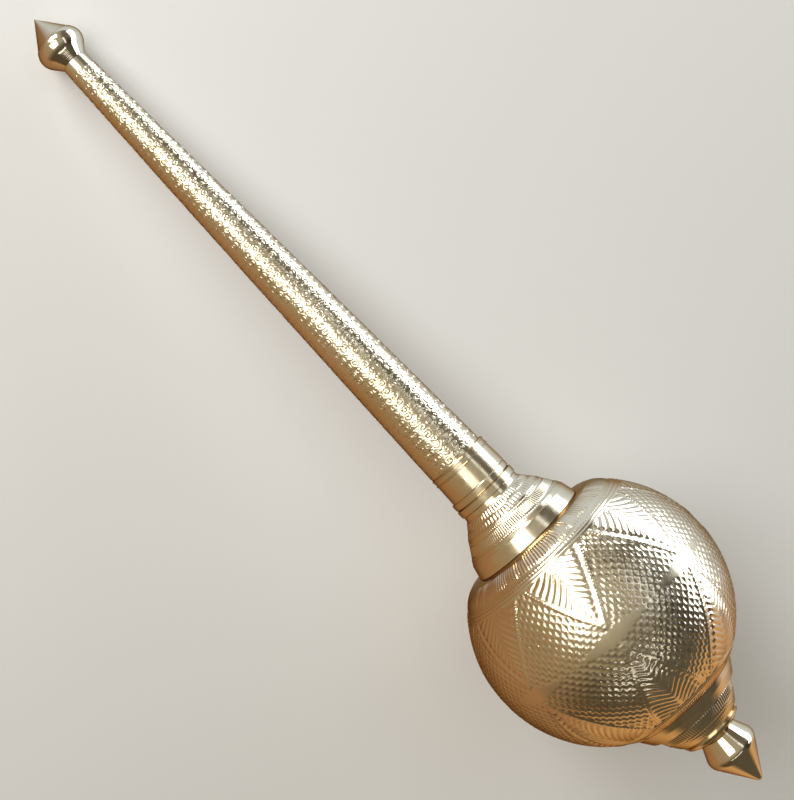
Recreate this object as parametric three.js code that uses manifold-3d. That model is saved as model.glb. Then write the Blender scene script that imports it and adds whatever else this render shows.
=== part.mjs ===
// A ceremonial mace (gada) of spun and chased sheet brass.
//
// Each piece is turned about the mace's own axis: +X runs from the point of the butt (0) to the
// point of the head, and the roll angle runs round the axis from +Z towards +Y.
// The whole mace is then laid down at rest, on the ball and on the belt of the butt finial,
// with z = 0 at the surface it lies on. Lengths are millimetres, angles degrees.

import * as THREE from "three";
import { mergeVertices } from "three/addons/utils/BufferGeometryUtils.js";
import Module from "manifold-3d";

const wasm = await Module();
wasm.setup();

// Driving dimensions: stations along the axis, measured from the point of the butt.
const totalLength = 710;
const seam = 0.3; // open joint between two pieces
const buttEnd = 39.8;
const handleEnd = 438;
const collarEnd = 481.5; // the neck socket meets the ball
const ballEnd = 629.5; // the ball meets the end cup
const cupEnd = 665;

const collarRadius = { neck: 43.9, cup: 44.6 }; // where the collars meet the ball
const ball = { radius: 89.4, centre: 552.6, flattening: 6, roundFrom: 44 };
const buttBelt = { at: 27.1, radius: 19.5, fillet: 7.4 }; // corner before rounding
const tipBelt = { at: 680.5, radius: 20.2, fillet: 4.6 };
const tipPoint = { at: 708.8, radius: 2.2 }; // worn blunt
const handleRadius = { butt: 9.4, head: 21.4, swell: 0.5 };
const ferrule = { start: 411, radius: 22.4, endRadius: 22.9, beadRadius: 23.6, beadLength: 5.5 };
const ferruleOffCentre = 0.8; // towards +Y

// Chased relief: how far the metal is raised or sunk.
const relief = { border: 0.8, stroke: 0.5, flute: 0.4, scroll: 0.3 };

// The ball's pattern: palm leaves that stand on two rings and point at the equator,
// with punched fields between them. Polar angles are counted from the pole at the neck.
const leaves = 8;
const leafRoll = -3; // roll angle of the first leaf's midrib
const columnsPerLeaf = 10;
const ring = { polar: 50.5, foot: 1.6 };
const farRing = { polar: 140.5, foot: 1.6 };
const belt = 4.2; // half width of the plain belt at the equator
const leafHalfWidth = { ring: 20, farRing: 20.5 };
const leafRows = { ring: 9, farRing: 11 };

// Flat spots that keep the mace from rolling.
const restDepth = { ball: 0.8, butt: 0.35 };

const radians = THREE.MathUtils.degToRad;
const alternate = (count) => (count % 2 === 0 ? 1 : -1);

// ---- turning and chasing -------------------------------------------------------------------

// A turned outline through corners [station, radius, fillet]; a fillet rounds off its corner
// over that length on both sides.
function outline(corners, filletSteps = 4) {
  const points = corners.map(([x, r]) => new THREE.Vector2(x, r));
  return corners.flatMap(([, , fillet], i) => {
    if (!fillet) return [points[i]];
    const start = points[i].clone().lerp(points[i - 1], fillet / points[i].distanceTo(points[i - 1]));
    const end = points[i].clone().lerp(points[i + 1], fillet / points[i].distanceTo(points[i + 1]));
    return new THREE.QuadraticBezierCurve(start, points[i], end).getPoints(filletSteps);
  });
}

// Where a point of a piece lies: station along the axis, distance from it, and roll angle.
function onAxis(x, r, roll) {
  return new THREE.Vector3(x, r * Math.sin(radians(roll)), r * Math.cos(radians(roll)));
}

// A closed piece of rings round the axis, each a list of equally many points. The ends are
// closed by a point on the axis. ridge(row, column) is true where a chased ridge runs, so that
// no facet cuts across it.
function ringsToSolid(rings, startPole, endPole, ridge = () => false) {
  const columns = rings[0].length;
  const points = [startPole, ...rings.flat(), endPole];
  const at = (row, column) => 1 + row * columns + (column % columns);
  const last = points.length - 1;
  const triangles = [];
  for (let c = 0; c < columns; c += 1) {
    triangles.push(0, at(0, c), at(0, c + 1));
    triangles.push(last, at(rings.length - 1, c + 1), at(rings.length - 1, c));
  }
  for (let row = 0; row < rings.length - 1; row += 1) {
    for (let c = 0; c < columns; c += 1) {
      const [a, b, d, e] = [at(row, c), at(row, c + 1), at(row + 1, c), at(row + 1, c + 1)];
      const rising = ridge(row, c) && ridge(row + 1, c + 1);
      const falling = ridge(row, c + 1) && ridge(row + 1, c);
      if (rising && !falling) triangles.push(a, d, e, a, e, b);
      else triangles.push(a, d, b, b, d, e);
    }
  }
  const geometry = new THREE.BufferGeometry().setFromPoints(points);
  geometry.setIndex(triangles);
  return geometry;
}

// A turned piece of the given outline, its surface moved along the radius by chase(point, row,
// column), where it has one.
function turned(points, columns, chase = () => 0, firstRoll = 0) {
  const middle = points.filter((p) => p.y > 0);
  const rings = middle.map((p, row) =>
    Array.from({ length: columns }, (_, column) =>
      onAxis(p.x, p.y + chase(p, row, column), firstRoll + (column * 360) / columns),
    ),
  );
  return ringsToSolid(rings, onAxis(points[0].x, 0, 0), onAxis(points.at(-1).x, 0, 0));
}

// ---- the pieces ----------------------------------------------------------------------------

function buttFinial() {
  const corners = [
    [0, 0],
    [buttBelt.at, buttBelt.radius, buttBelt.fillet],
    [buttEnd, 9.2],
    [buttEnd, 0],
  ];
  return turned(outline(corners, 6), 24);
}

// The handle widens evenly towards the head, with a slight swell near the butt, and ends in a
// plain ferrule and a bead. Its skin is chased all over with small scrolls.
function handle() {
  const start = buttEnd + seam;
  const scrolls = 38;
  const chased = { from: start + 9, to: ferrule.start - 2 };
  const grip = (x) => {
    const t = (x - start) / (ferrule.start - start);
    const swell = handleRadius.swell * Math.sin(Math.PI * t);
    return THREE.MathUtils.lerp(handleRadius.butt, handleRadius.head, t) + swell;
  };
  const skin = Array.from({ length: scrolls + 1 }, (_, i) => {
    const x = THREE.MathUtils.lerp(chased.from, chased.to, i / scrolls);
    return new THREE.Vector2(x, grip(x));
  });
  const bead = handleEnd - ferrule.beadLength;
  const end = outline([
    [ferrule.start, grip(ferrule.start)],
    [ferrule.start + 1, ferrule.radius],
    [bead - 0.4, ferrule.endRadius],
    [bead, ferrule.endRadius],
    [bead + 0.8, ferrule.beadRadius],
    [handleEnd - 0.8, ferrule.beadRadius],
    [handleEnd, ferrule.endRadius],
    [handleEnd, 0],
  ]);
  const points = [new THREE.Vector2(start, 0), new THREE.Vector2(start, grip(start)), ...skin, ...end];
  const isChased = (p) => p.x > chased.from && p.x < chased.to;
  const scroll = (p, row, column) => (isChased(p) ? relief.scroll * alternate(row + column) : 0);
  const geometry = turned(points, 16, scroll);
  const place = geometry.getAttribute("position");
  for (let i = 0; i < place.count; i += 1) {
    const onFerrule = place.getX(i) > ferrule.start && place.getX(i) < bead;
    if (onFerrule) place.setY(i, place.getY(i) + ferruleOffCentre);
  }
  return geometry;
}

// The neck socket: a ring, a waist, a chased flare in two bands, and a smooth collar that sits
// on the ball.
function neckSocket() {
  const start = handleEnd + seam;
  const bands = { leaf: 448, line: 457.6, flutes: 459, rib: 468.6 };
  const points = outline([
    [start, 0],
    [start, 23.2],
    [start + 0.6, 24],
    [443.4, 24],
    [444, 23.1],
    [446.8, 23.3],
    [449.6, 25.3],
    [453, 28.1],
    [bands.line - 1.2, 30.9],
    [bands.line, 32.3],
    [bands.flutes, 32.5],
    [bands.rib - 0.6, 38.6],
    [bands.rib, 39.6],
    [471, 40.9],
    [471.8, 41.5],
    [collarEnd, collarRadius.neck],
    [collarEnd, 0],
  ]);
  const chase = (p, row, column) => {
    const leafy = p.x > bands.leaf && p.x < bands.line - 1;
    const fluted = p.x > bands.line + 1 && p.x < bands.rib;
    if (leafy) return relief.flute * alternate(column + row);
    return fluted ? relief.flute * alternate(column) : 0;
  };
  return turned(points, 40, chase);
}

// Half the width of a leaf at a polar angle, from its foot on a ring to its point at the belt.
function leafHalfWidthAt(polar) {
  const near = polar < 90;
  const [foot, point] = near ? [ring.polar, 90 - belt] : [farRing.polar, 90 + belt];
  const width = near ? leafHalfWidth.ring : leafHalfWidth.farRing;
  return width * THREE.MathUtils.clamp((point - polar) / (point - foot), 0, 1);
}

// Polar angles of the two openings of the ball.
const neckPolar = THREE.MathUtils.radToDeg(Math.atan2(collarRadius.neck, ball.centre - collarEnd - seam));
const endPolar = 180 - THREE.MathUtils.radToDeg(Math.acos((ballEnd - seam - ball.centre) / ball.radius));

// The rings of the ball, by polar angle, with what is chased on each.
function ballRows() {
  const steps = (from, to, count, kind) =>
    Array.from({ length: count }, (_, i) => ({ polar: from + ((to - from) * i) / count, kind }));
  const rows = [
    ...steps(neckPolar, ring.polar - ring.foot, 4, "flutes"),
    { polar: ring.polar - ring.foot, kind: "plain" },
    { polar: ring.polar, kind: "rib" },
    ...steps(ring.polar + ring.foot, 90 - belt, leafRows.ring, "leaf"),
    ...steps(90 - belt, 90 + belt, 2, "plain"),
    ...steps(90 + belt, farRing.polar - farRing.foot, leafRows.farRing, "leaf"),
    { polar: farRing.polar - farRing.foot, kind: "plain" },
    { polar: farRing.polar, kind: "rib" },
    ...steps(farRing.polar + farRing.foot, endPolar, 3, "flutes"),
    { polar: endPolar, kind: "plain" },
  ];
  rows[0].kind = "plain";
  return rows;
}

// One point of the ball. The column nearest a leaf's border is moved onto it, so that the
// border is one clean ridge; a leaf's strokes slant from its midrib, and a field is punched.
function ballPoint({ polar, kind }, row, column) {
  const pitch = 360 / (leaves * columnsPerLeaf);
  const leaf = Math.round(column / columnsPerLeaf);
  const step = column - leaf * columnsPerLeaf;
  const halfWidth = leafHalfWidthAt(polar);
  const borderStep = Math.round(halfWidth / pitch);
  const onBorder = kind === "leaf" && Math.abs(step) === borderStep && borderStep > 0;
  const onMidrib = kind === "leaf" && step === 0 && borderStep > 1;
  const across = onBorder ? Math.sign(step) * halfWidth : step * pitch;
  const stroke = relief.stroke * alternate(row + Math.abs(step));
  const raised = {
    plain: 0,
    rib: relief.border,
    flutes: relief.flute * alternate(column),
    leaf: onBorder || onMidrib ? relief.border : stroke,
  }[kind];
  const ease = Math.max(0, (ball.roundFrom - polar) / (ball.roundFrom - neckPolar));
  const reach = ball.radius - ball.flattening * ease ** 2 + raised;
  const roll = leafRoll + (leaf * 360) / leaves + across;
  const x = ball.centre - reach * Math.cos(radians(polar));
  return { position: onAxis(x, reach * Math.sin(radians(polar)), roll), onBorder };
}

function ballHead() {
  const rows = ballRows();
  const columns = leaves * columnsPerLeaf;
  const grid = rows.map((row, i) => Array.from({ length: columns }, (_, c) => ballPoint(row, i, c)));
  const rings = grid.map((points) => points.map((point) => point.position));
  rings[0].forEach((point) => point.setX(collarEnd + seam));
  rings.at(-1).forEach((point) => point.setX(ballEnd - seam));
  const onRidge = (row, column) => grid[row][column % columns].onBorder;
  const startPole = onAxis(collarEnd + seam, 0, 0);
  return ringsToSolid(rings, startPole, onAxis(ballEnd - seam, 0, 0), onRidge);
}

// The end cup: a smooth collar on the ball, a cup chased with short strokes, and an end ring.
function endCup() {
  const chased = { from: 641, to: 657 };
  const points = outline([
    [ballEnd, 0],
    [ballEnd, collarRadius.cup],
    [634.5, 42],
    [640.2, 38.2],
    [640.8, 33.9],
    [644, 32.6],
    [648, 30.8],
    [652, 28.4],
    [656, 25.5],
    [658.6, 22.9],
    [659.2, 23.6],
    [661.6, 22.4],
    [663.6, 19.2],
    [cupEnd - seam, 14],
    [cupEnd - seam, 0],
  ]);
  const isChased = (p) => p.x > chased.from && p.x < chased.to;
  const chase = (p, row, column) => (isChased(p) ? relief.flute * alternate(row + column) : 0);
  return turned(points, 28, chase);
}

function tipFinial() {
  const corners = [
    [cupEnd, 0],
    [cupEnd, 13.2],
    [tipBelt.at, tipBelt.radius, tipBelt.fillet],
    [tipPoint.at, tipPoint.radius],
    [totalLength, 0],
  ];
  return turned(outline(corners, 5), 24);
}

// ---- at rest -------------------------------------------------------------------------------

// The tilt and height of the axis with the ball and the butt's belt both on the surface, each
// sunk by the depth of its flat spot. The belt counts as its highest point.
function restingPose() {
  const beltPoint = outline([
    [0, 0],
    [buttBelt.at, buttBelt.radius, buttBelt.fillet],
    [buttEnd, 9.2],
  ], 6).reduce((best, p) => (p.y > best.y ? p : best));
  const apart = ball.centre - beltPoint.x;
  const rise = ball.radius - restDepth.ball + restDepth.butt;
  const tilt = Math.asin(rise / Math.hypot(apart, beltPoint.y)) - Math.atan2(beltPoint.y, apart);
  const height = ball.radius - restDepth.ball - ball.centre * Math.sin(tilt);
  return { tilt, height };
}

function toSolid(geometry) {
  const merged = mergeVertices(geometry);
  return new wasm.Manifold(
    new wasm.Mesh({
      numProp: 3,
      vertProperties: merged.attributes.position.array,
      triVerts: new Uint32Array(merged.index.array),
    }),
  );
}

function toGeometry(solid) {
  const { vertProperties, triVerts } = solid.getMesh();
  const geometry = new THREE.BufferGeometry();
  geometry.setAttribute("position", new THREE.BufferAttribute(vertProperties, 3));
  geometry.setIndex(new THREE.BufferAttribute(triVerts, 1));
  return geometry;
}

// Cuts off what reaches below the surface the mace lies on, which leaves the flat spot.
function flattened(geometry, placement) {
  const depth = 50;
  const below = new THREE.BoxGeometry(2 * totalLength, 2 * totalLength, depth);
  below.deleteAttribute("normal");
  below.deleteAttribute("uv");
  below.translate(0, 0, -depth / 2);
  below.applyMatrix4(placement.clone().invert());
  return toGeometry(toSolid(geometry).subtract(toSolid(below)));
}

const brass = { butt: 0xc9ad74, handle: 0xbfa777, neck: 0xc9a765, ball: 0xb89b67, cup: 0xc29a58, tip: 0xcfa860 };

function piece(name, geometry, color, roughness) {
  geometry.computeVertexNormals();
  const material = new THREE.MeshStandardMaterial({ color, roughness, metalness: 1 });
  const mesh = new THREE.Mesh(geometry, material);
  mesh.name = name;
  return mesh;
}

const { tilt, height } = restingPose();
const mace = new THREE.Group();
mace.rotation.y = -tilt;
mace.position.set((-totalLength * Math.cos(tilt)) / 2, 0, height);
mace.updateMatrix();
mace.add(
  piece("butt_finial", flattened(buttFinial(), mace.matrix), brass.butt, 0.16),
  piece("handle", handle(), brass.handle, 0.26),
  piece("neck_socket", neckSocket(), brass.neck, 0.22),
  piece("ball_head", flattened(ballHead(), mace.matrix), brass.ball, 0.24),
  piece("end_cup", endCup(), brass.cup, 0.24),
  piece("tip_finial", tipFinial(), brass.tip, 0.16),
);

const part = new THREE.Group();
part.add(mace);

export default part;
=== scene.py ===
import math
import bpy
import numpy as np
from mathutils import Matrix, Vector


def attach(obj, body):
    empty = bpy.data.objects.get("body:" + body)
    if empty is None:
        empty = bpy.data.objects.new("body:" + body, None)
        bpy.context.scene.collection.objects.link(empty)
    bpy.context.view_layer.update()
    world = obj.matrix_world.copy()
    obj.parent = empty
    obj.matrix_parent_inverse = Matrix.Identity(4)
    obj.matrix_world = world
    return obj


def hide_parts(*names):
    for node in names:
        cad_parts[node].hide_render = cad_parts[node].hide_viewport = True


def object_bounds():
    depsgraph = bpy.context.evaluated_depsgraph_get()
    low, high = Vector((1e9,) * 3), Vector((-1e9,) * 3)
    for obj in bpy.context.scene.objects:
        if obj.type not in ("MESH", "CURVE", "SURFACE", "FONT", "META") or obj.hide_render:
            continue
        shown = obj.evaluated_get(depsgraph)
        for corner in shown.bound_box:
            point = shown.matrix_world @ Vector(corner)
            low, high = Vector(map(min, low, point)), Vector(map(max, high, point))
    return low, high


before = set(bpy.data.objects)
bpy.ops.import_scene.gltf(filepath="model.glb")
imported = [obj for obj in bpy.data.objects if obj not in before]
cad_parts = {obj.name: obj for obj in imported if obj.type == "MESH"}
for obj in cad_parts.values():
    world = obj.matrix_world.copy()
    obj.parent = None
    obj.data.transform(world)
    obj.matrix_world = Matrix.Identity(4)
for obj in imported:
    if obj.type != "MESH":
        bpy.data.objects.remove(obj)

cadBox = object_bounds()
mm = 0.001

# The mace is turned and chased on its own axis, +X from the butt's point to the head's point,
# in millimetres, and laid down at the end. Roll is counted from the top towards +Y.
mace = {
    "length": 710.0,
    "buttEnd": 39.8,
    "handleEnd": 438.0,
    "collarEnd": 481.5,
    "ballEnd": 629.5,
    "cupEnd": 665.0,
    "seam": 0.3,
    "ballRadius": 89.35,
    "ballCentre": 552.6,
    "ballFlat": 0.8,
}


def layingDown():
    # the tilt follows from how long the laid mace is, and the height from the ball under it
    low, high = cadBox
    tilt = math.acos((high.x - low.x) / (mace["length"] * mm))
    height = mace["ballRadius"] - mace["ballFlat"] - mace["ballCentre"] * math.sin(tilt)
    return Matrix.Translation((low.x, 0, height * mm)) @ Matrix.Rotation(-tilt, 4, "Y")


laid = layingDown()
alongMace = laid.to_3x3() @ Vector((1, 0, 0))
aboveMace = laid.to_3x3() @ Vector((0, 0, 1))
middleOfMace = laid @ Vector((mace["length"] * mm / 2, 0, 0))


def filleted(corners, steps=10):
    # a turned outline through corners (station, radius, fillet length)
    points = [Vector(corner[:2]) for corner in corners]
    line = []
    for i, corner in enumerate(corners):
        if len(corner) == 2:
            line.append(points[i])
            continue
        fillet = corner[2]
        start = points[i] + (points[i - 1] - points[i]).normalized() * fillet
        end = points[i] + (points[i + 1] - points[i]).normalized() * fillet
        for k in range(steps + 1):
            t = k / steps
            line.append(start * (1 - t) ** 2 + points[i] * 2 * t * (1 - t) + end * t ** 2)
    return [tuple(point) for point in line]


def fineLine(line, step):
    # the same outline with points no further apart than step
    fine = [line[0]]
    for a, b in zip(line, line[1:]):
        count = max(1, math.ceil(math.dist(a, b) / step))
        fine += [tuple(a[k] + (b[k] - a[k]) * i / count for k in (0, 1)) for i in range(1, count + 1)]
    return fine


def turnOnLathe(name, line, sides):
    bpy.ops.object.select_all(action="DESELECT")
    start = Vector((line[0][0], 0, line[0][1])) * mm
    bpy.ops.mesh.primitive_plane_add(size=mm, location=start)
    piece = bpy.context.object
    piece.name = piece.data.name = name
    bpy.ops.object.transform_apply(location=True, rotation=True, scale=True)
    bpy.ops.object.mode_set(mode="EDIT")
    bpy.ops.mesh.select_all(action="SELECT")
    bpy.ops.mesh.merge(type="CENTER")
    for a, b in zip(line, line[1:]):
        move = ((b[0] - a[0]) * mm, 0, (b[1] - a[1]) * mm)
        bpy.ops.mesh.extrude_region_move(TRANSFORM_OT_translate={"value": move})
    bpy.ops.mesh.select_all(action="SELECT")
    bpy.ops.mesh.spin(steps=sides, angle=2 * math.pi, center=(0, 0, 0), axis=(1, 0, 0))
    bpy.ops.mesh.select_all(action="SELECT")
    bpy.ops.mesh.remove_doubles(threshold=0.01 * mm)
    bpy.ops.mesh.normals_make_consistent(inside=False)
    bpy.ops.object.mode_set(mode="OBJECT")
    print("turned", name, len(piece.data.polygons), "faces")
    return piece


def smoothStep(value, low, high):
    t = np.clip((value - low) / (high - low), 0, 1)
    return t * t * (3 - 2 * t)


def bump(distance, width):
    return np.exp(-(distance / width) ** 2)


def scatter(a, b=0, seed=0):
    # a steady number from 0 to 1 for each cell of a pattern
    v = np.sin(a * 12.9898 + b * 78.233 + seed * 37.719) * 43758.5453
    return v - np.floor(v)


def between(value, low, high):
    return (value > low) * (value < high)


def pillow(phase, sharpness=0.7):
    # rounded ridges with a narrow groove between them, 0 in the groove and 1 on the ridge
    return np.abs(np.sin(np.pi * phase)) ** sharpness


def handWork(along, around):
    # the soft unevenness of hand-beaten sheet, about -1 to 1
    return (
        np.sin(along / 7.3 + 1.3 * np.sin(around / 11.0)) * np.sin(around / 8.1 + 0.6)
        + 0.6 * np.sin(along / 17.0 + around / 13.0 + 2.0)
        + 0.5 * np.sin(along / 4.1 - around / 5.2)
    ) / 2


def chase(piece, work, centre=None):
    # raises and sinks the surface: work(station, radius, roll) gives the height in millimetres,
    # along the normals, or away from the centre's station or from the axis where that is given
    mesh = piece.data
    place = np.empty(len(mesh.vertices) * 3, np.float32)
    normal = np.empty(len(mesh.vertices) * 3, np.float32)
    mesh.vertices.foreach_get("co", place)
    mesh.vertices.foreach_get("normal", normal)
    place = place.reshape(-1, 3).astype(float) / mm
    normal = normal.reshape(-1, 3)
    station = place[:, 0]
    radius = np.hypot(place[:, 1], place[:, 2])
    roll = np.degrees(np.arctan2(place[:, 1], place[:, 2]))
    if centre is not None:
        normal = place - (centre, 0, 0) if centre != "axis" else place * (0, 1, 1)
        normal = normal / np.maximum(np.linalg.norm(normal, axis=1), 1)[:, None]
    height = work(station, radius, roll)
    place += normal * height[:, None]
    mesh.vertices.foreach_set("co", (place * mm).astype(np.float32).ravel())
    mesh.attributes.new("relief", "FLOAT", "POINT").data.foreach_set("value", height.astype(np.float32))
    mesh.update()


def layDown(piece, node, flatAngle=35):
    bpy.ops.object.select_all(action="DESELECT")
    piece.select_set(True)
    bpy.context.view_layer.objects.active = piece
    piece.matrix_world = laid
    bpy.ops.object.transform_apply(location=True, rotation=True, scale=True)
    mesh = piece.data
    place = np.empty(len(mesh.vertices) * 3, np.float32)
    mesh.vertices.foreach_get("co", place)
    place = place.reshape(-1, 3)
    place[:, 2] = np.maximum(place[:, 2], 0)  # the flat spot it lies on
    mesh.vertices.foreach_set("co", place.ravel())
    mesh.update()
    bpy.ops.object.shade_smooth_by_angle(angle=math.radians(flatAngle))
    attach(piece, "root")
    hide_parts(node)


def wire(tree, source, target):
    tree.links.new(source, target)


def spread(tree, source, fromRange, toRange=(0, 1)):
    node = tree.nodes.new("ShaderNodeMapRange")
    node.inputs["From Min"].default_value, node.inputs["From Max"].default_value = fromRange
    node.inputs["To Min"].default_value, node.inputs["To Max"].default_value = toRange
    wire(tree, source, node.inputs["Value"])
    return node.outputs["Result"]


def noise(tree, vector, scale, detail):
    node = tree.nodes.new("ShaderNodeTexNoise")
    node.inputs["Scale"].default_value = scale
    node.inputs["Detail"].default_value = detail
    wire(tree, vector, node.inputs["Vector"])
    return node.outputs["Fac"]


# the colour sockets of a mix node go by number: its other sockets share their names
mixSocket = {"factor": 0, "first": 6, "second": 7, "result": 2}


def mixColours(tree, amount, first, second, blend="MIX"):
    mix = tree.nodes.new("ShaderNodeMix")
    mix.data_type = "RGBA"
    mix.blend_type = blend
    mix.inputs[mixSocket["factor"]].default_value = 1
    if amount:
        wire(tree, amount, mix.inputs[mixSocket["factor"]])
    wire(tree, first, mix.inputs[mixSocket["first"]])
    if isinstance(second, tuple):
        mix.inputs[mixSocket["second"]].default_value = (*second, 1)
    else:
        wire(tree, second, mix.inputs[mixSocket["second"]])
    return mix.outputs[mixSocket["result"]]


def brass(name, look):
    material = bpy.data.materials.new(name)
    material.use_nodes = True
    tree = material.node_tree
    nodes = tree.nodes
    shader = nodes["Principled BSDF"]
    shader.inputs["Metallic"].default_value = 1.0
    # painted reflection: the dark orange-brown edge tint darkens the metal at its rims
    shader.inputs["Specular Tint"].default_value = look["paintedRimReflection"]
    place = nodes.new("ShaderNodeTexCoord")
    turn = nodes.new("ShaderNodeMapping")  # lines the grain up with the mace
    turn.inputs["Rotation"].default_value = (0, math.asin(alongMace.z), 0)
    wire(tree, place.outputs["Object"], turn.inputs["Vector"])
    turned = turn.outputs["Vector"]

    tone = nodes.new("ShaderNodeValToRGB")
    tones = (look["deep"], look["pale"])
    for element, at, colour in zip(tone.color_ramp.elements, look["cloudSpread"], tones):
        element.position = at
        element.color = colour
    wire(tree, noise(tree, turned, look["cloudScale"], look["cloudDetail"]), tone.inputs["Fac"])

    # painted shade: the sunk hollows of the chasing are darkened towards a dark brown, and made rougher
    relief = nodes.new("ShaderNodeAttribute")
    relief.attribute_name = "relief"
    sunk = spread(tree, relief.outputs["Fac"], look["sunk"], (0, look["paintedShadeAmount"]))
    colour = mixColours(tree, sunk, tone.outputs["Color"], look["paintedShadeTone"])
    wire(tree, colour, shader.inputs["Base Color"])

    grain = noise(tree, turned, look["grainScale"], look["grainDetail"])
    dull = nodes.new("ShaderNodeMath")
    dull.operation = "MULTIPLY_ADD"
    dull.inputs[1].default_value = look["sunkRough"]
    wire(tree, sunk, dull.inputs[0])
    wire(tree, spread(tree, grain, look["grainSpread"], look["rough"]), dull.inputs[2])
    wire(tree, dull.outputs["Value"], shader.inputs["Roughness"])

    # fine lines left by the lathe run round the mace
    stretch = nodes.new("ShaderNodeMapping")
    stretch.inputs["Scale"].default_value = look["lineScale"]
    wire(tree, turned, stretch.inputs["Vector"])
    bumps = nodes.new("ShaderNodeBump")
    bumps.inputs["Strength"].default_value = look["lineStrength"]
    bumps.inputs["Distance"].default_value = look["lineDepth"]
    wire(tree, noise(tree, stretch.outputs["Vector"], 1, look["lineDetail"]), bumps.inputs["Height"])
    wire(tree, bumps.outputs["Normal"], shader.inputs["Normal"])
    return material


chasedLook = {
    "pale": (0.93, 0.86, 0.71, 1),
    "deep": (0.85, 0.74, 0.54, 1),
    # painted reflection: a dark orange-brown edge tint that darkens the rims
    "paintedRimReflection": (0.35, 0.20, 0.08, 1),
    # painted shade: the dark brown that the sunk hollows are darkened towards, over this relief range and
    # up to this amount
    "paintedShadeTone": (0.30, 0.21, 0.11),
    "sunk": (-0.1, -0.6),
    "paintedShadeAmount": 0.6,
    "sunkRough": 0.25,
    "cloudScale": 18,
    "cloudDetail": 5,
    "cloudSpread": (0.3, 0.7),
    "grainScale": 160,
    "grainDetail": 3,
    "grainSpread": (0.35, 0.7),
    "rough": (0.13, 0.24),
    "lineScale": (900, 60, 60),
    "lineStrength": 0.15,
    "lineDepth": 0.0001,
    "lineDetail": 4,
}
polishedLook = {
    **chasedLook,
    "rough": (0.06, 0.12),
    "grainScale": 90,
    "lineScale": (1600, 25, 25),
    "lineStrength": 0.25,
}
chasedBrass = brass("chasedBrass", chasedLook)
polishedBrass = brass("polishedBrass", polishedLook)


buttFinial = {
    # the point's cone ends in a crisp ridge
    "ridge": ((19.9, 14.3), (20.2, 14.9)),
    "belt": (27.1, 19.4, 7.9),
    "endRadius": 9.2,
    "step": 0.8,
    "sides": 160,
}
tipFinial = {
    "beltAt": 680.5,
    "beltRadius": 20.2,
    "fillet": 4.6,
    "endRadius": 13.2,
    "pointAt": 708.8,
    "pointRadius": 2.1,
    "short": 0.01,
    "step": 1.0,
    "sides": 160,
}


def plainWork(station, radius, roll):
    # polished pieces are only a little uneven, and true at their points
    return 0.04 * handWork(station, np.radians(roll) * radius) * smoothStep(radius, 3, 12)


def makeFinials():
    line = filleted([
        (0, 0),
        *buttFinial["ridge"],
        buttFinial["belt"],
        (mace["buttEnd"], buttFinial["endRadius"]),
        (mace["buttEnd"], 0),
    ])
    butt = turnOnLathe("buttFinial", fineLine(line, buttFinial["step"]), buttFinial["sides"])
    chase(butt, plainWork)
    butt.data.materials.append(polishedBrass)
    layDown(butt, "butt_finial")
    line = filleted([
        (mace["cupEnd"], 0),
        (mace["cupEnd"], tipFinial["endRadius"]),
        (tipFinial["beltAt"], tipFinial["beltRadius"], tipFinial["fillet"]),
        (tipFinial["pointAt"], tipFinial["pointRadius"]),
        (mace["length"] - tipFinial["short"], 0),
    ])
    tip = turnOnLathe("tipFinial", fineLine(line, tipFinial["step"]), tipFinial["sides"])
    chase(tip, plainWork)
    tip.data.materials.append(polishedBrass)
    layDown(tip, "tip_finial")


handle = {
    "buttRadius": 9.4,
    "headRadius": 21.4,
    "swell": 0.5,
    "middle": 232.0,
    "lower": {"sides": 170, "step": 0.38},
    "upper": {"sides": 208, "step": 0.46},
    "chasedFrom": 49.0,
    "chasedTo": 410.0,
    "plainFrom": (415, 425),
    "ferrule": 411.0,
    "ferruleRadius": 22.4,
    "ferruleEndRadius": 22.9,
    "beadRadius": 23.6,
    "beadFrom": 432.5,
    "capRadius": 7,
    "unevenness": 0.10,
    "sliver": 0.02,
    "curlPitch": 5.6,
    "curlWidth": 6.2,
    "curlLine": 1.75,
    "curlHeight": 0.34,
    "offCentre": 0.8,
    "ringsAt": (412.4, 416.6),
    "ringHeight": 0.5,
    "ringWidth": 1.2,
}


handleStart = mace["buttEnd"] + mace["seam"]


def gripRadius(station):
    t = (station - handleStart) / (handle["ferrule"] - handleStart)
    taper = (handle["headRadius"] - handle["buttRadius"]) * t
    return handle["buttRadius"] + taper + handle["swell"] * np.sin(np.pi * t)


def curls(station, radius, roll):
    # rows of small curls, each row with as many as fit round the handle
    row = np.round((station - handle["chasedFrom"]) / handle["curlPitch"])
    rowStation = handle["chasedFrom"] + row * handle["curlPitch"]
    count = np.round(2 * np.pi * gripRadius(rowStation) / handle["curlWidth"])
    turn = (roll / 360 + scatter(row, 0, 1)) * count
    cell = np.mod(np.round(turn), count)
    sideways = (turn - np.round(turn)) * handle["curlWidth"] + 0.5 * (scatter(row, cell, 2) - 0.5)
    along = station - rowStation + 0.7 * (scatter(row, cell, 3) - 0.5)
    reach = np.hypot(along, sideways)
    hand = np.where(scatter(row, cell, 4) > 0.5, 1, -1)
    angle = np.arctan2(sideways, along) * hand / (2 * np.pi) + scatter(row, cell, 5)
    line = pillow(reach / handle["curlLine"] - angle, 2.6)
    leafy = pillow((along + np.abs(sideways)) / 2.1 + 0.3 * cell, 1.5)
    line = np.where(scatter(row, cell, 6) > 0.82, leafy, line)
    return (line - 0.2) * (1 - smoothStep(reach, 2.5, 3.3)) * smoothStep(reach, 0.1, 0.7)


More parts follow.
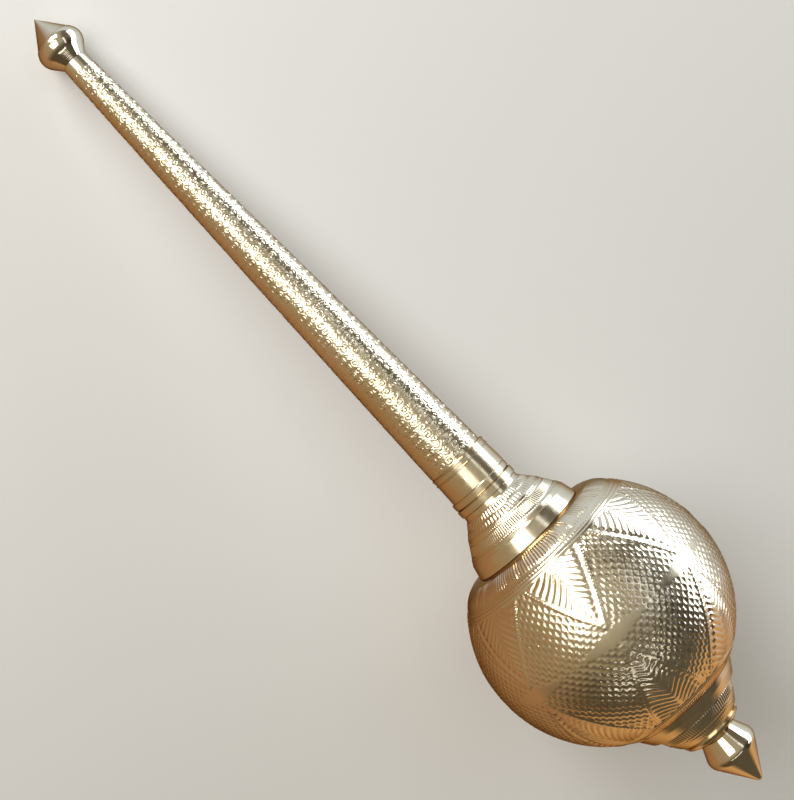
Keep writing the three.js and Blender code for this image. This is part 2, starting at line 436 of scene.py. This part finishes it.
def handleWork(station, radius, roll):
    around = np.radians(roll) * radius
    zone = smoothStep(station, handle["chasedFrom"] - 1, handle["chasedFrom"] + 1)
    zone *= 1 - smoothStep(station, handle["chasedTo"] - 1, handle["chasedTo"] + 0.5)
    skin = (radius > handle["capRadius"]) * between(station, mace["buttEnd"] + 1, mace["handleEnd"] - 1)
    height = handle["curlHeight"] * curls(station, radius, roll) * zone
    plain = smoothStep(station, *handle["plainFrom"])
    height += handle["unevenness"] * handWork(station, around) * (1 - plain)
    return height * skin


def handleOutline():
    bead = handle["beadFrom"]
    line = [(s, float(gripRadius(s))) for s in np.linspace(handleStart, handle["ferrule"], 12)]
    line += [(handle["ferrule"] + 0.5, handle["ferruleRadius"])]
    for ring in handle["ringsAt"]:
        half = handle["ringWidth"] / 2
        line += [
            (ring - half, handle["ferruleRadius"]),
            (ring - half / 2, handle["ferruleRadius"] + handle["ringHeight"]),
            (ring + half / 2, handle["ferruleRadius"] + handle["ringHeight"]),
            (ring + half, handle["ferruleRadius"]),
        ]
    line += [
        (bead - 0.4, handle["ferruleEndRadius"]),
        (bead, handle["ferruleEndRadius"]),
        (bead + 0.8, handle["beadRadius"]),
        (mace["handleEnd"] - 0.8, handle["beadRadius"]),
        (mace["handleEnd"], handle["ferruleEndRadius"]),
    ]
    return line


def makeHandle():
    # chased in two lengths, with finer rows on the thin one
    line = handleOutline()
    middle = handle["middle"]
    meeting = (middle, float(gripRadius(middle)))
    lower = fineLine([p for p in line if p[0] < middle] + [meeting], handle["lower"]["step"])
    upper = fineLine([meeting] + [p for p in line if p[0] > middle], handle["upper"]["step"])
    # a very narrow row keeps the shading unbroken where the lengths meet
    lower.insert(-1, (middle - handle["sliver"], meeting[1]))
    upper.insert(1, (middle + handle["sliver"], meeting[1]))
    hair = 1e-6
    ferrule = (handle["ferrule"] * mm + hair, handle["beadFrom"] * mm - hair)
    for name, part, look in (
        ("handleLower", lower, handle["lower"]),
        ("handleUpper", upper, handle["upper"]),
    ):
        closed = [(part[0][0], 0)] + part + [(part[-1][0], 0)]
        piece = turnOnLathe(name, closed, look["sides"])
        chase(piece, handleWork, "axis")
        for vertex in piece.data.vertices:
            if ferrule[0] < vertex.co.x < ferrule[1]:
                vertex.co.y += handle["offCentre"] * mm
        piece.data.materials.append(chasedBrass)
        layDown(piece, "handle")


neck = {
    "leafFrom": 447.6,
    "line": 457.6,
    "flutesFrom": 458.6,
    "rib": 468.6,
    "collar": 471.8,
    "collarRadius": 43.8,
    "flutes": 132,
    "leafHeight": 0.28,
    "fluteHeight": 0.24,
    "dotHeight": 0.35,
    "dotsAt": (0.08, 0.92),
    "unevenness": 0.05,
    "capRadius": 20,
    # stations and radii of the turned outline, below the leaves and up their flare
    "foot": ((443.4, 24), (444, 23.1)),
    "flare": ((446.8, 23.3), (449.6, 25.3), (453, 28.1)),
    "step": 0.4,
    "sides": 396,
}


def neckWork(station, radius, roll):
    skin = (radius > neck["capRadius"]) * between(station, mace["handleEnd"] + 1, mace["collarEnd"] - 0.5)
    turn = roll / 360 * neck["flutes"]
    split = (neck["leafFrom"] + neck["line"]) / 2
    height = np.zeros_like(station)
    for row, (a, b) in enumerate(((neck["leafFrom"], split), (split, neck["line"]))):
        t = (station - a) / (b - a)
        inside = smoothStep(t, 0.02, 0.15) * (1 - smoothStep(t, 0.85, 0.98))
        cell = turn / 2 + 0.5 * row
        leaf = pillow(cell) * inside * (0.6 + 0.4 * np.sin(np.pi * np.clip(t, 0, 1)))
        height += neck["leafHeight"] * leaf
    t = (station - neck["flutesFrom"]) / (neck["rib"] - neck["flutesFrom"])
    inside = smoothStep(t, 0.16, 0.24) * (1 - smoothStep(t, 0.78, 0.86))
    height += neck["fluteHeight"] * pillow(turn) * inside
    for dots in neck["dotsAt"]:
        height += neck["dotHeight"] * bump(t - dots, 0.055) * np.cos(np.pi * turn) ** 2
    uneven = handWork(station, np.radians(roll) * radius) * smoothStep(station, 447, 450)
    height += neck["unevenness"] * uneven
    return height * skin


def makeNeckSocket():
    start = mace["handleEnd"] + mace["seam"]
    line = [
        (start, 0),
        (start, 23.2),
        (start + 0.6, 24),
        *neck["foot"],
        *neck["flare"],
        (neck["line"] - 1.2, 30.9),
        (neck["line"], 32.3),
        (neck["flutesFrom"], 32.5),
        (neck["rib"] - 0.6, 38.4),
        (neck["rib"], 39.4),
        (471, 40.8),
        (neck["collar"], 41.4),
        (mace["collarEnd"], neck["collarRadius"]),
        (mace["collarEnd"], 0),
    ]
    line = line[:1] + fineLine(line[1:-1], neck["step"]) + line[-1:]
    piece = turnOnLathe("neckSocketChased", line, neck["sides"])
    chase(piece, neckWork)
    piece.data.materials.append(chasedBrass)
    layDown(piece, "neck_socket")


ball = {
    "flattening": 6.0,
    "roundFrom": 44.0,
    "leaves": 8,
    "leafRoll": -3.0,
    "belt": 4.2,
    "near": {"ring": 50.5, "foot": 20.0, "fringeEnd": 46.3, "fringeStart": 31.0},
    "far": {"ring": 39.5, "foot": 20.5, "fringeEnd": 36.8, "fringeStart": 28.5},
    "lean": 0.37,
    "barbPitch": 5.1,
    "toothPitch": 4.8,
    "dashPitch": 6.3,
    "dashRow": 3.0,
    "fringe": 168,
    "borderHeight": 0.50,
    "innerLineHeight": 0.36,
    "toothDepth": 0.5,
    "barbHeight": 0.68,
    "midribHeight": 0.28,
    "fieldRise": 0.15,
    "dashDepth": 0.54,
    "ringLines": (-1.2, 1.2),
    "ringLineHeight": 0.5,
    "beadHeight": 0.35,
    "strokeHeight": 0.42,
    "unevenness": 0.10,
    "neckRadius": 43.9,
    "capRadius": 35,
    "sliver": 0.03,
    "sides": 520,
    "rows": 160,
}


def leafWork(arc, across, inside, edge, toothed, leaf):
    height = ball["borderHeight"] * bump(edge, 0.6) + ball["innerLineHeight"] * bump(edge - 1.7, 0.5)
    along = arc * math.cos(ball["lean"]) - across * math.sin(ball["lean"])
    tooth = along / ball["toothPitch"] + 0.3 * leaf
    step = (tooth - np.round(tooth)) * ball["toothPitch"]
    height -= ball["toothDepth"] * bump(step, 1.2) * bump(edge - 3.5, 1.1) * toothed
    rise = 1.3 * across - 0.026 * across ** 2
    phase = (arc - rise) / ball["barbPitch"] + scatter(leaf, 0, 7) + 0.08 * np.sin(arc / 6 + leaf)
    start = np.where(toothed > 0.5, 5.0, 1.9)
    barb = smoothStep(across, 0.2, 2.2) * smoothStep(edge, start, start + 1.4)
    height += ball["barbHeight"] * (pillow(phase) - 0.5) * barb
    height += ball["midribHeight"] * bump(across, 0.5) * smoothStep(edge, 1, 3)
    return height * smoothStep(inside, -1.5, 0)


def fieldWork(arc, sideways, edge):
    row = np.round(sideways / ball["dashRow"])
    dash = arc / ball["dashPitch"] + 0.5 * np.mod(row, 2)
    cell = np.round(dash)
    along = (dash - cell) * ball["dashPitch"] + 0.8 * (scatter(row, cell, 8) - 0.5)
    aside = sideways - row * ball["dashRow"] + 0.12 * along * (scatter(row, cell, 9) - 0.3)
    pit = np.exp(-np.abs(along / 2.5) ** 3 - np.abs(aside / 1.05) ** 2.5)
    return (ball["fieldRise"] - ball["dashDepth"] * pit) * smoothStep(-edge, 0.8, 1.8)


def ballWork(side, mirrored):
    size = mace["ballRadius"]

    def work(station, radius, roll):
        polar = np.degrees(np.arctan2(radius, mace["ballCentre"] - station))
        pole = 180 - polar if mirrored else polar
        arc = np.radians(pole) * size
        ringArc = math.radians(side["ring"]) * size
        pointArc = math.radians(90 - ball["belt"]) * size
        turn = (roll - ball["leafRoll"]) / (360 / ball["leaves"])
        leaf = np.mod(np.round(turn), ball["leaves"])
        u = (turn - np.round(turn)) * 360 / ball["leaves"]
        gap = (turn - 0.5 - np.round(turn - 0.5)) * 360 / ball["leaves"]
        reach = size * np.sin(np.radians(pole))
        across = np.abs(np.radians(u)) * reach
        taper = np.clip((pointArc - arc) / (pointArc - ringArc), 0, 1)
        inside = np.radians(side["foot"]) * taper * reach - across
        edge = inside * math.cos(ball["lean"])
        toothed = np.where(u * np.where(np.mod(leaf, 2) == 0, 1, -1) > 0, 1.0, 0.0)
        pattern = leafWork(arc, across, inside, edge, toothed, leaf)
        pattern += fieldWork(arc, np.radians(gap) * reach, edge)
        equator = math.radians(90) * size - arc
        worn = 1.4 + 2.6 * np.cos(np.radians(u) * ball["leaves"]) + 1.2 * scatter(leaf, 0, 10)
        pattern *= smoothStep(equator, worn, worn + 1.8)
        pattern *= smoothStep(arc, ringArc + 1.8, ringArc + 3.2)
        height = pattern
        for line in ball["ringLines"]:
            height = height + ball["ringLineHeight"] * bump(arc - ringArc - line, 0.75)
        beads = np.cos(np.radians(roll) * ball["fringe"] / 2) ** 2
        height += ball["beadHeight"] * bump(arc - ringArc + 3.6, 0.8) * beads
        stroke = roll / 360 * ball["fringe"] + 0.15 * np.sin(np.radians(roll) * 9)
        endArc = math.radians(side["fringeEnd"]) * size + 1.6 * (scatter(np.round(stroke), 0, 11) - 0.5)
        startArc = math.radians(side["fringeStart"]) * size
        lines = smoothStep(arc, startArc, startArc + 1) * (1 - smoothStep(arc, endArc - 1.5, endArc))
        height += ball["strokeHeight"] * (pillow(stroke, 0.8) - 0.5) * lines
        height += ball["unevenness"] * handWork(arc, np.radians(roll) * reach)
        away = np.hypot(station - mace["ballCentre"], radius)
        skin = (away > 0.9 * size) * between(station, mace["collarEnd"] + 1, mace["ballEnd"] - 1)
        return height * skin * (radius > ball["capRadius"])

    return work


# the ball's polar angles where the neck socket and the end cup meet it
neckPolar = math.degrees(
    math.atan2(ball["neckRadius"], mace["ballCentre"] - mace["collarEnd"] - mace["seam"])
)
endPolar = 180 - math.degrees(
    math.acos((mace["ballEnd"] - mace["seam"] - mace["ballCentre"]) / mace["ballRadius"])
)


def ballPoint(polar):
    ease = max(0, (ball["roundFrom"] - polar) / (ball["roundFrom"] - neckPolar))
    reach = mace["ballRadius"] - ball["flattening"] * ease ** 2
    return (
        mace["ballCentre"] - reach * math.cos(math.radians(polar)),
        reach * math.sin(math.radians(polar)),
    )


def makeBall():
    start = mace["collarEnd"] + mace["seam"]
    end = mace["ballEnd"] - mace["seam"]
    # a very narrow last row keeps the shading unbroken where the halves meet
    nearPolars = (*np.linspace(neckPolar, 90 - ball["sliver"], ball["rows"]), 90)
    farPolars = (90, *np.linspace(90 + ball["sliver"], endPolar, ball["rows"]))
    middle = (mace["ballCentre"], 0)
    near = [(start, 0), *map(ballPoint, nearPolars), middle]
    far = [middle, *map(ballPoint, farPolars), (end, 0)]
    for name, line, side, mirrored in (
        ("ballNeckHalf", near, ball["near"], False),
        ("ballEndHalf", far, ball["far"], True),
    ):
        piece = turnOnLathe(name, line, ball["sides"])
        chase(piece, ballWork(side, mirrored), mace["ballCentre"])
        piece.data.materials.append(chasedBrass)
        layDown(piece, "ball_head")


cup = {
    "strokes": 96,
    "strokeHeight": 0.36,
    "dotHeight": 0.4,
    "unevenness": 0.06,
    "chasedFrom": 641.4,
    "chasedTo": 657.8,
    "capRadius": 12,
    "collarRadius": 44.5,
    # stations and radii of the turned outline, from the collar's lip to the last bead
    "lip": ((634.5, 41.9), (640.2, 38.1), (640.8, 33.9)),
    "bowl": ((644, 32.6), (648, 30.8), (652, 28.4), (656, 25.5)),
    "bead": ((658.6, 22.9), (659.2, 23.6), (661.6, 22.4), (663.6, 19.2)),
    "endRadius": 14,
    "step": 0.4,
    "sides": 288,
}


def cupWork(station, radius, roll):
    skin = (radius > cup["capRadius"]) * between(station, mace["ballEnd"] + 1, mace["cupEnd"] - 1)
    turn = roll / 360 * cup["strokes"]
    t = (station - cup["chasedFrom"]) / (cup["chasedTo"] - cup["chasedFrom"])
    height = np.zeros_like(station)
    for a, b, shift in ((0.02, 0.46, 0), (0.58, 0.96, 0.5)):
        inside = smoothStep(t, a, a + 0.06) * (1 - smoothStep(t, b - 0.06, b))
        height += cup["strokeHeight"] * (pillow(turn + shift) - 0.4) * inside
    height += cup["dotHeight"] * bump(t - 0.52, 0.04) * np.cos(np.pi * turn) ** 2
    uneven = handWork(station, np.radians(roll) * radius) * smoothStep(station, 641, 644)
    height += cup["unevenness"] * uneven
    return height * skin


def makeEndCup():
    end = mace["cupEnd"] - mace["seam"]
    line = [
        (mace["ballEnd"], 0),
        (mace["ballEnd"], cup["collarRadius"]),
        *cup["lip"],
        *cup["bowl"],
        *cup["bead"],
        (end, cup["endRadius"]),
        (end, 0),
    ]
    line = line[:1] + fineLine(line[1:-1], cup["step"]) + line[-1:]
    piece = turnOnLathe("endCupChased", line, cup["sides"])
    chase(piece, cupWork)
    piece.data.materials.append(chasedBrass)
    layDown(piece, "end_cup")


floorLook = {"size": 8, "drop": 0.0002, "colour": (0.93, 0.95, 0.98, 1), "roughness": 0.9}


def makeFloor():
    bpy.ops.object.select_all(action="DESELECT")
    bpy.ops.mesh.primitive_plane_add(size=floorLook["size"], location=(0, 0, -floorLook["drop"]))
    floor = bpy.context.object
    floor.name = "floor"
    material = bpy.data.materials.new("paleFloor")
    material.use_nodes = True
    shader = material.node_tree.nodes["Principled BSDF"]
    shader.inputs["Base Color"].default_value = floorLook["colour"]
    shader.inputs["Roughness"].default_value = floorLook["roughness"]
    floor.data.materials.append(material)
    floor.visible_glossy = False  # the metal shows the room around it


camera = {"distance": 1.0125, "lens": 67.5, "sensor": 36, "turn": 46.25, "aside": -0.00065}


def makeCamera():
    turned = math.radians(camera["turn"])
    right = alongMace * math.cos(turned) + Vector((0, math.sin(turned), 0))
    back = aboveMace
    up = back.cross(right)
    turn = Matrix((right, up, back)).transposed()
    place = middleOfMace + back * camera["distance"] + Vector((0, camera["aside"], 0))
    bpy.ops.object.camera_add(location=place)
    seen = bpy.context.object
    seen.rotation_euler = turn.to_euler()
    seen.data.lens = camera["lens"]
    seen.data.sensor_width = camera["sensor"]
    bpy.context.scene.camera = seen


lightAim = laid @ Vector((0.5, 0, 0))
softboxes = {
    # toward: direction from the ball along the mace, towards +Y and above it
    "key": {
        "toward": (-0.42, -0.22, 0.9),
        "lengthways": (1, 0, 0),
        "distance": 1.5,
        "size": (1.3, 0.9),
        "brightness": 1.9,
        "colour": (1.0, 0.98, 0.95),
    },
    "strip": {
        "toward": (0.0, 0.60, 0.80),
        "lengthways": (1, 0, 0),
        "distance": 1.5,
        "size": (1.3, 0.22),
        "brightness": 0.9,
        "colour": (0.90, 0.96, 1.0),
    },
    "buttEnd": {
        "toward": (-0.91, 0.03, 0.41),
        "lengthways": (0, 1, 0),
        "distance": 1.6,
        "size": (0.7, 0.5),
        "brightness": 8.0,
        "colour": (1.0, 0.98, 0.95),
    },
    "farStrip": {
        "toward": (0.72, -0.1, 0.66),
        "lengthways": (0, 1, 0),
        "distance": 1.5,
        "size": (1.3, 0.12),
        "brightness": 1.6,
        "colour": (1.0, 0.97, 0.90),
    },
    "window": {
        "toward": (0.0, 1.0, 0.05),
        "lengthways": (1, 0, 0),
        "distance": 1.4,
        "size": (2.6, 0.7),
        "brightness": 2.8,
        "colour": (0.90, 0.96, 1.0),
    },
}


def placeSoftbox(name, look):
    along, aside, above = look["toward"]
    away = (alongMace * along + Vector((0, aside, 0)) + aboveMace * above).normalized()
    along, aside, above = look["lengthways"]
    wide = alongMace * along + Vector((0, aside, 0)) + aboveMace * above
    wide = (wide - away * wide.dot(away)).normalized()
    bpy.ops.object.light_add(type="AREA", location=lightAim + away * look["distance"])
    light = bpy.context.object
    light.name = name
    light.rotation_euler = Matrix((wide, away.cross(wide), away)).transposed().to_euler()
    light.data.shape = "RECTANGLE"
    light.data.size, light.data.size_y = look["size"]
    light.data.energy = look["brightness"] * math.pi * look["size"][0] * look["size"][1]
    light.data.color = look["colour"]


def makeLights():
    for name, look in softboxes.items():
        placeSoftbox(name, look)
    bpy.context.scene.view_settings.view_transform = "Standard"


# the room around it, by direction: (place from -1 to 1, colour)
room = {
    # over it, from its -Y side to its +Y side
    "above": (
        (-1.0, (0.38, 0.25, 0.13)),
        (-0.6, (0.38, 0.31, 0.19)),
        (-0.2, (0.46, 0.40, 0.28)),
        (0.45, (0.42, 0.39, 0.31)),
        (0.68, (0.16, 0.14, 0.11)),
        (0.90, (0.16, 0.14, 0.11)),
        (0.97, (0.78, 0.86, 0.98)),
    ),
    # under it
    "below": (
        (-1.0, (0.40, 0.21, 0.09)),
        (-0.3, (0.34, 0.20, 0.10)),
        (0.2, (0.70, 0.76, 0.84)),
        (1.0, (0.78, 0.86, 0.98)),
    ),
    # towards the head's point the room is dark above and warm below
    "farShade": ((0.0, (1.0, 1.0, 1.0)), (0.5, (0.25, 0.23, 0.21))),
    "farWarmth": (0.82, 0.46, 0.18),
    "farFrom": (0.5, 0.9),
    "horizon": (-0.12, 0.08),
    "strength": 0.9,
}


def ramp(tree, source, stops):
    colours = tree.nodes.new("ShaderNodeValToRGB")
    elements = colours.color_ramp.elements
    while len(elements) < len(stops):
        elements.new(0.5)
    for element, (at, colour) in zip(elements, stops):
        element.position = (at + 1) / 2
        element.color = (*colour, 1)
    wire(tree, spread(tree, source, (-1, 1)), colours.inputs["Fac"])
    return colours.outputs["Color"]


def makeRoom():
    world = bpy.context.scene.world or bpy.data.worlds.new("room")
    bpy.context.scene.world = world
    world.use_nodes = True
    tree = world.node_tree
    direction = tree.nodes.new("ShaderNodeTexCoord")
    parts = tree.nodes.new("ShaderNodeSeparateXYZ")
    wire(tree, direction.outputs["Generated"], parts.inputs["Vector"])
    above = ramp(tree, parts.outputs["Y"], room["above"])
    shade = ramp(tree, parts.outputs["X"], room["farShade"])
    above = mixColours(tree, None, above, shade, "MULTIPLY")
    below = ramp(tree, parts.outputs["Y"], room["below"])
    far = spread(tree, parts.outputs["X"], room["farFrom"])
    below = mixColours(tree, far, below, room["farWarmth"])
    rise = spread(tree, parts.outputs["Z"], room["horizon"])
    backdrop = tree.nodes["Background"]
    wire(tree, mixColours(tree, rise, below, above), backdrop.inputs["Color"])
    backdrop.inputs["Strength"].default_value = room["strength"]


makeCamera()
makeFloor()
makeLights()
makeRoom()
print("camera, floor, lights and room made")
makeFinials()
makeHandle()
makeNeckSocket()
makeBall()
makeEndCup()
print("pieces made")
